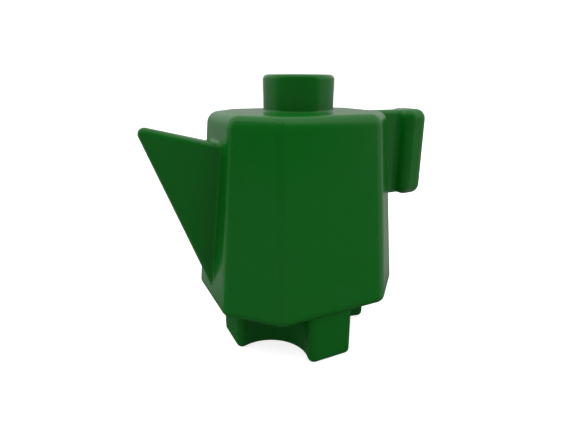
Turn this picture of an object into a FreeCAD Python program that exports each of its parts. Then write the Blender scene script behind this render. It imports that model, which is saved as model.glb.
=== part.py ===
import FreeCAD, Part
import os
from FreeCAD import Vector

# A toy teapot moulded in one piece. Lengths are in millimetres. X runs from the spout to the handle,
# Z is up, and the origin is where the axis of the knob and socket meets the face the foot stands on.

# Knob on the lid, a round stud that another piece can be pushed onto
knob_diameter = 9.4
knob_height = 4.6
knob_rim_radius = 0.6
knob_root_radius = 0.3

# Body, an eight-sided frustum that is wider below than above
body_height = 25.4
top_length = 22.65
top_width = 18.0
top_corner_cut = 4.4
bottom_length = 26.9
bottom_width = 22.9
bottom_corner_cut = 5.8
side_edge_radius = 1.8
top_edge_radius = 1.6
bottom_edge_radius = 1.1

# Foot, four legs whose hollow sides clear the four studs round it
foot_height = 6.95
leg_reach = 10.65
stud_pitch = 16.0
stud_clearance = 0.4
leg_corner_radius = 0.87
sole_radius = 0.75

# Socket under the foot, which takes a stud of the knob's size, and the core above it
socket_clearance = 0.05
socket_headroom = 0.8
core_mouth_radius = 4.2
core_end_radius = 3.4
lid_thickness = 2.6

# Spout, a three-sided wedge with a flat top and a keel below. The reach, rises and half width are those
# of the sharp wedge, before its edges are rounded.
spout_reach = 25.0
spout_rise = 32.3
spout_root_rise = 28.7
spout_root_half_width = 2.4
keel_root_rise = 2.0
spout_edge_radius = 0.8
spout_root_radius = 0.5

# Handle, a web with a thicker upright grip along its outer edge
grip_inner_face = 16.7
grip_depth = 4.2
grip_width = 5.5
web_width = 2.2
handle_bottom = 19.2
handle_drop = 0.1
web_drop = 0.1
grip_edge_radius = 1.5
web_edge_radius = 0.7
handle_root_radius = 0.5
grip_root_radius = 0.8

# Sizes that follow from the ones above
body_top = foot_height + body_height
knob_radius = knob_diameter / 2
socket_radius = knob_radius + socket_clearance
socket_depth = knob_height + socket_headroom
end_face_slope = (bottom_length - top_length) / 2 / body_height
# How far a piece runs into the one that carries it, so that the two fuse
overlap = 2.0


def octagon(length, width, corner_cut, height):
    """A level rectangle with its corners cut off at 45 degrees."""
    x = length / 2
    y = width / 2
    c = corner_cut
    corners = [(x, y - c), (x - c, y), (c - x, y), (-x, y - c)]
    corners += [(-a, -b) for a, b in corners]
    points = [Vector(a, b, height) for a, b in corners]
    return Part.makePolygon(points + points[:1])


def end_face(height):
    """How far the body's end face stands from the axis at a height."""
    return top_length / 2 + (body_top - height) * end_face_slope


def edges_where(shape, test):
    """The edges whose bounding box passes a test."""
    return [edge for edge in shape.Edges if test(edge.BoundBox)]


def edges_between(union, first, second):
    """The edges of a fused solid that lie on both of the pieces it was fused from."""
    found = []
    for edge in union.Edges:
        span = edge.LastParameter - edge.FirstParameter
        probe = Part.Vertex(edge.valueAt(edge.FirstParameter + 0.4 * span))
        if first.distToShape(probe)[0] < 1e-4 and second.distToShape(probe)[0] < 1e-4:
            found.append(edge)
    return found


def make_body():
    bottom = octagon(bottom_length, bottom_width, bottom_corner_cut, foot_height)
    top = octagon(top_length, top_width, top_corner_cut, body_top)
    body = Part.makeLoft([bottom, top], True, True)
    body = body.makeFillet(side_edge_radius, edges_where(body, lambda box: box.ZLength > body_height / 2))
    body = body.makeFillet(top_edge_radius, edges_where(body, lambda box: box.ZMin > body_top - 1e-4))
    low_edges = edges_where(body, lambda box: box.ZMax < foot_height + 1e-4)
    return body.makeFillet(bottom_edge_radius, low_edges)


def make_foot():
    """A cross of two bars as wide as the stud pitch, hollowed in its four corners to clear the studs."""
    height = foot_height + overlap
    along = Part.makeBox(2 * leg_reach, stud_pitch, height, Vector(-leg_reach, -stud_pitch / 2, 0))
    across = Part.makeBox(stud_pitch, 2 * leg_reach, height, Vector(-stud_pitch / 2, -leg_reach, 0))
    foot = along.fuse(across).removeSplitter()
    for x in (-stud_pitch / 2, stud_pitch / 2):
        for y in (-stud_pitch / 2, stud_pitch / 2):
            foot = foot.cut(Part.makeCylinder(knob_radius + stud_clearance, height, Vector(x, y, 0)))
    foot = foot.makeFillet(leg_corner_radius, edges_where(foot, lambda box: box.ZLength > height / 2))
    return foot.makeFillet(sole_radius, edges_where(foot, lambda box: box.ZMax < 1e-4))


def make_knob():
    knob = Part.makeCylinder(knob_radius, knob_height + overlap, Vector(0, 0, body_top - overlap))
    rim = edges_where(knob, lambda box: box.ZMin > body_top + knob_height - 1e-4)
    return knob.makeFillet(knob_rim_radius, rim)


def extend(start, through, x):
    """The point at x on the straight line from one point through another."""
    return start + (through - start) * ((x - start.x) / (through.x - start.x))


def make_spout():
    """A pyramid from the tip to a triangle inside the body, with its three outer edges rounded."""
    tip = Vector(-spout_reach, 0, spout_rise)
    near_root = Vector(-end_face(spout_root_rise), -spout_root_half_width, spout_root_rise)
    keel_root = Vector(-end_face(keel_root_rise), 0, keel_root_rise)
    base_x = near_root.x + side_edge_radius + overlap
    near = extend(tip, near_root, base_x)
    far = Vector(near.x, -near.y, near.z)
    keel = extend(tip, keel_root, base_x)
    sides = [(tip, near, far), (tip, far, keel), (tip, keel, near), (near, keel, far)]
    faces = [Part.Face(Part.makePolygon(list(side) + [side[0]])) for side in sides]
    spout = Part.makeSolid(Part.makeShell(faces))
    spout = spout.makeFillet(spout_edge_radius, edges_where(spout, lambda box: box.XMin < 1e-4 - spout_reach))
    underside = foot_height + bottom_edge_radius
    corner = Vector(-2 * spout_reach, -bottom_width, underside)
    return spout.common(Part.makeBox(2 * spout_reach, 2 * bottom_width, 2 * body_top, corner))


def block(x_start, x_end, width, bottom, top):
    """An upright block, centred on the XZ plane."""
    return Part.makeBox(x_end - x_start, width, top - bottom, Vector(x_start, -width / 2, bottom))


def make_web():
    inner_end = top_length / 2 - top_edge_radius - overlap
    outer_end = grip_inner_face + grip_depth / 2
    top = body_top - handle_drop - web_drop
    web = block(inner_end, outer_end, web_width, handle_bottom + web_drop, top)
    return web.makeFillet(web_edge_radius, edges_where(web, lambda box: box.XLength > overlap))


def make_grip():
    outer_face = grip_inner_face + grip_depth
    grip = block(grip_inner_face, outer_face, grip_width, handle_bottom, body_top - handle_drop)
    return grip.makeFillet(grip_edge_radius, grip.Edges)


def make_hollow():
    """The socket for a stud, and the tapered core that leads on from it towards the lid."""
    socket = Part.makeCylinder(socket_radius, socket_depth)
    core_height = body_top - lid_thickness - socket_depth
    core = Part.makeCone(core_mouth_radius, core_end_radius, core_height, Vector(0, 0, socket_depth))
    return socket.fuse(core)


def join(carrier, piece, corner_radius):
    """Fuse a piece to the one that carries it, and round the inner corner along their seam."""
    union = carrier.fuse(piece)
    return union.makeFillet(corner_radius, edges_between(union, carrier, piece))


def make_teapot():
    teapot = join(make_body(), make_spout(), spout_root_radius)
    handle = join(make_web(), make_grip(), grip_root_radius)
    teapot = join(teapot, handle, handle_root_radius)
    teapot = join(teapot, make_knob(), knob_root_radius)
    return teapot.fuse(make_foot()).cut(make_hollow())


teapot = make_teapot()
print("teapot", teapot.isValid(), len(teapot.Solids), "volume", round(teapot.Volume, 1))
os.makedirs("parts", exist_ok=True)
teapot.exportStep("parts/teapot.step")
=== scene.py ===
from math import cos, radians, sin

import bpy
from mathutils import Matrix, Vector

# A toy teapot moulded in one piece of green plastic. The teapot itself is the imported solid. This script
# gives it its finish and sets it on a pale floor, in a white light tent that is open in front.
# Lengths are in metres. A turn is an angle round the upright axis, from the -Y side towards the -X side.

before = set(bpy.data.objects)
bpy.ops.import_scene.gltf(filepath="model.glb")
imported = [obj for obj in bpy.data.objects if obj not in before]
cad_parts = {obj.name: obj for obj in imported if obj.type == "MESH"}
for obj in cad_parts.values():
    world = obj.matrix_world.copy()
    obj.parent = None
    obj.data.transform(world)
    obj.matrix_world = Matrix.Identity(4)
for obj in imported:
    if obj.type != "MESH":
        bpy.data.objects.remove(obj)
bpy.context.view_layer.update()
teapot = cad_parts["teapot"]

# Camera
camera_place = Vector((-0.02698, -0.05202, 0.03604))
camera_turn = radians(26.2)
camera_dip = radians(17.67)
camera_roll = radians(0.25)
camera_lens_mm = 26.36
sensor_width_mm = 36.0
nearest_seen = 0.002

# Plastic. Its polish varies in patches, and its skin has a fine orange peel.
plastic_green = (0.0014, 0.105, 0.0066, 1.0)
plastic_green_worn = (0.0017, 0.109, 0.0073, 1.0)
plastic_ior = 1.5
polish_roughness = (0.18, 0.24)
polish_spread = (0.3, 0.7)
patch_size = 0.006
patch_detail = 3.0
peel_size = 0.0006
peel_detail = 2.0
peel_depth = 0.000004

# Light tent, by direction from the object. The cloth's level goes from the first value to the second
# while the upward part of the direction goes through the range in cloth_rise. The opening is in front.
# Its sides are a range of the direction's frontward part, and its top is a range of the upward part.
cloth_light = (1.25, 2.2)
cloth_rise = (0.3, 1.0)
opening_light = 0.50
opening_turn = radians(31)
opening_sides = (0.26, 0.38)
opening_top = (0.50, 0.75)

# What the gloss shows of the tent: the white background behind the object at part of its strength, and
# hardly anything in front
cloth_in_gloss = (0.33, 0.62)
cloth_rise_in_gloss = (0.0, 0.35)
opening_in_gloss = 0.002
opening_top_in_gloss = (0.80, 1.0)

# Floor. Its grey and what the gloss shows of it are given close by the object, behind it and in front.
# What the gloss shows is a glow, a painted reflection of the floor: dim close by the object as a painted
# shadow, and dim in front as painted shade of the tent's opening.
floor_half_size = 1.5
floor_white = 0.80
floor_grey_seen = 0.45
floor_grey = (0.42, 0.40, 0.42)
floor_glow_in_gloss_with_painted_shade = (0.05, 0.32, 0.080)
floor_close = (0.014, 0.036)

# Soft lamps at the sides: the power of each in watts, and how far round it is to the camera's right
lamps = ((0.07, radians(100)), (0.12, radians(-100)))
lamp_rise = radians(25)
lamp_distance = 0.25
lamp_size = 0.12

white = (1.0, 1.0, 1.0, 1.0)


class Graph:
    """Adds shader nodes to a node tree, with the constants and links of their inputs in one call."""

    def __init__(self, tree):
        self.tree = tree
        self.tree.nodes.clear()

    def add(self, kind, settings=None, **inputs):
        node = self.tree.nodes.new(kind)
        for name, value in (settings or {}).items():
            setattr(node, name, value)
        for name, value in inputs.items():
            self.feed(node.inputs[name.replace("_", " ")], value)
        return node

    def feed(self, socket, value):
        if isinstance(value, bpy.types.NodeSocket):
            self.tree.links.new(value, socket)
        else:
            socket.default_value = value

    def math(self, operation, *values):
        node = self.tree.nodes.new("ShaderNodeMath")
        node.operation = operation
        for socket, value in zip(node.inputs, values):
            self.feed(socket, value)
        return node.outputs[0]

    def vector(self, operation, *vectors):
        node = self.add("ShaderNodeVectorMath", {"operation": operation})
        for socket, vector in zip(node.inputs, vectors):
            self.feed(socket, vector)
        return node.outputs["Value" if operation in ("DOT_PRODUCT", "LENGTH") else "Vector"]

    def blend(self, share, first, second):
        """The first value where share is 0, and the second where it is 1."""
        node = self.add("ShaderNodeMix")
        for index, value in ((0, share), (2, first), (3, second)):
            self.feed(node.inputs[index], value)
        return node.outputs[0]

    def ramp(self, value, low, high, start, end):
        """A smooth change from start to end while the value goes from low to high."""
        node = self.add("ShaderNodeMapRange", {"interpolation_type": "SMOOTHSTEP"}, Value=value)
        for name, number in (("From Min", low), ("From Max", high), ("To Min", start), ("To Max", end)):
            self.feed(node.inputs[name], number)
        return node.outputs["Result"]


def new_material(name):
    """A material, and the graph that its nodes are added to."""
    material = bpy.data.materials.new(name)
    material.use_nodes = True
    return material, Graph(material.node_tree)


def make_plastic():
    """Glossy moulded plastic: even green, a faint orange peel, and polish that varies a little."""
    material, graph = new_material("green_plastic")
    place = graph.add("ShaderNodeTexCoord").outputs["Object"]
    patches = graph.add("ShaderNodeTexNoise", Vector=place, Scale=1 / patch_size, Detail=patch_detail)
    peel = graph.add("ShaderNodeTexNoise", Vector=place, Scale=1 / peel_size, Detail=peel_detail)
    tint = graph.add("ShaderNodeMix", {"data_type": "RGBA"})
    graph.feed(tint.inputs["Factor"], patches.outputs["Fac"])
    graph.feed(tint.inputs[6], plastic_green)
    graph.feed(tint.inputs[7], plastic_green_worn)
    polish = graph.ramp(patches.outputs["Fac"], *polish_spread, *polish_roughness)
    bump = graph.add("ShaderNodeBump", Height=peel.outputs["Fac"], Strength=1.0, Distance=peel_depth)
    shader = graph.add("ShaderNodeBsdfPrincipled", IOR=plastic_ior, Roughness=polish)
    graph.feed(shader.inputs["Base Color"], tint.outputs[2])
    graph.feed(shader.inputs["Normal"], bump.outputs["Normal"])
    graph.add("ShaderNodeOutputMaterial", Surface=shader.outputs["BSDF"])
    return material


def place_round(turn, rise):
    """The direction from the object to a place at a turn, raised by an angle."""
    return Vector((-sin(turn) * cos(rise), -cos(turn) * cos(rise), sin(rise)))


def camera_axes():
    """The camera's right, up and backward directions."""
    backward = place_round(camera_turn, camera_dip)
    right = Vector((cos(camera_turn), -sin(camera_turn), 0))
    up = backward.cross(right)
    rolled_right = right * cos(camera_roll) + up * sin(camera_roll)
    rolled_up = up * cos(camera_roll) - right * sin(camera_roll)
    return rolled_right, rolled_up, backward


def make_camera():
    camera = bpy.data.objects.new("camera", bpy.data.cameras.new("camera"))
    bpy.context.scene.collection.objects.link(camera)
    camera.data.lens = camera_lens_mm
    camera.data.sensor_width = sensor_width_mm
    camera.data.clip_start = nearest_seen
    camera.matrix_world = Matrix.Translation(camera_place) @ Matrix(camera_axes()).transposed().to_4x4()
    bpy.context.scene.camera = camera


def opening_from(graph, direction):
    """1 towards the tent's opening, 0 to the sides and behind, for a direction from the object."""
    level = graph.vector("NORMALIZE", graph.vector("MULTIPLY", direction, (1, 1, 0)))
    frontward = graph.vector("DOT_PRODUCT", level, place_round(opening_turn, 0))
    return graph.ramp(frontward, *opening_sides, 0.0, 1.0)


def rays(graph):
    """1 for what the camera sees itself, and 1 for what shows in gloss or through something clear."""
    path = graph.add("ShaderNodeLightPath").outputs
    return path["Is Camera Ray"], graph.math("MAXIMUM", path["Is Glossy Ray"], path["Is Transmission Ray"])


def tent_level(graph, height, opening, rise, cloth_levels, top, opening_level):
    """The tent's level in a direction: that of the opening, or that of the cloth round it and above."""
    below_top = graph.ramp(height, *top, 1.0, 0.0)
    cloth = graph.ramp(height, *rise, *cloth_levels)
    return graph.blend(graph.math("MULTIPLY", opening, below_top), cloth, opening_level)


def make_tent():
    """The world: a white background, and for all other rays the light of the tent."""
    world = bpy.data.worlds.new("light_tent")
    bpy.context.scene.world = world
    world.use_nodes = True
    graph = Graph(world.node_tree)
    direction = graph.add("ShaderNodeTexCoord").outputs["Generated"]
    height = graph.vector("DOT_PRODUCT", direction, (0, 0, 1))
    opening = opening_from(graph, direction)
    light = tent_level(graph, height, opening, cloth_rise, cloth_light, opening_top, opening_light)
    gloss = tent_level(graph, height, opening, cloth_rise_in_gloss, cloth_in_gloss,
                       opening_top_in_gloss, opening_in_gloss)
    seen, mirrored = rays(graph)
    strength = graph.blend(seen, graph.blend(mirrored, light, gloss), 1.0)
    background = graph.add("ShaderNodeBackground", Color=white, Strength=strength)
    graph.add("ShaderNodeOutputWorld", Surface=background.outputs["Background"])


def floor_level(graph, close, opening, levels):
    """One of the three levels that a part of the floor has, with soft changes between them."""
    at_object, behind, in_front = levels
    return graph.blend(close, graph.blend(opening, behind, in_front), at_object)


def paint_floor():
    """Matt paint with a glow for the camera. Gloss shows a glow of its own instead of both: a painted
    reflection, with a painted shadow close by the object and painted shade in front.
    """
    material, graph = new_material("floor_paint")
    place = graph.add("ShaderNodeTexCoord").outputs["Object"]
    opening = opening_from(graph, place)
    close = graph.ramp(graph.vector("LENGTH", place), *floor_close, 1.0, 0.0)
    seen, mirrored = rays(graph)
    grey = graph.blend(seen, floor_level(graph, close, opening, floor_grey), floor_grey_seen)
    # The floor in gloss is a glow: a painted reflection, with a painted shadow close by the object and
    # painted shade in front
    gloss = floor_level(graph, close, opening, floor_glow_in_gloss_with_painted_shade)
    glow_level = graph.blend(mirrored, graph.math("MULTIPLY", seen, floor_white), gloss)
    paint = graph.add("ShaderNodeBsdfDiffuse", Color=grey)
    glow = graph.add("ShaderNodeEmission", Color=white, Strength=glow_level)
    both = graph.add("ShaderNodeAddShader")
    graph.feed(both.inputs[0], paint.outputs["BSDF"])
    graph.feed(both.inputs[1], glow.outputs["Emission"])
    mix = graph.add("ShaderNodeMixShader")
    graph.feed(mix.inputs[0], mirrored)
    graph.feed(mix.inputs[1], both.outputs["Shader"])
    graph.feed(mix.inputs[2], glow.outputs["Emission"])
    graph.add("ShaderNodeOutputMaterial", Surface=mix.outputs["Shader"])
    return material


def make_floor():
    """A pale floor that is white to the camera, apart from the object's shadow."""
    mesh = bpy.data.meshes.new("floor")
    half = floor_half_size
    corners = [(-half, -half, 0), (half, -half, 0), (half, half, 0), (-half, half, 0)]
    mesh.from_pydata(corners, [], [(0, 1, 2, 3)])
    floor = bpy.data.objects.new("floor", mesh)
    bpy.context.scene.collection.objects.link(floor)
    mesh.materials.append(paint_floor())


def make_lamps():
    """Lamps beyond the tent's sides, which light the object but don't show in its gloss."""
    for power, turn in lamps:
        lamp = bpy.data.objects.new("lamp", bpy.data.lights.new("lamp", "AREA"))
        lamp.data.energy = power
        lamp.data.size = lamp_size
        lamp.location = place_round(camera_turn - turn, lamp_rise) * lamp_distance
        lamp.rotation_euler = lamp.location.to_track_quat("Z", "Y").to_euler()
        lamp.visible_glossy = False
        bpy.context.scene.collection.objects.link(lamp)


def dress_teapot():
    teapot.data.materials.clear()
    teapot.data.materials.append(make_plastic())
    teapot.material_slots[0].link = "OBJECT"
    teapot.material_slots[0].material = teapot.data.materials[0]


make_camera()
make_tent()
make_floor()
make_lamps()
dress_teapot()

bpy.context.scene.view_settings.view_transform = "Standard"
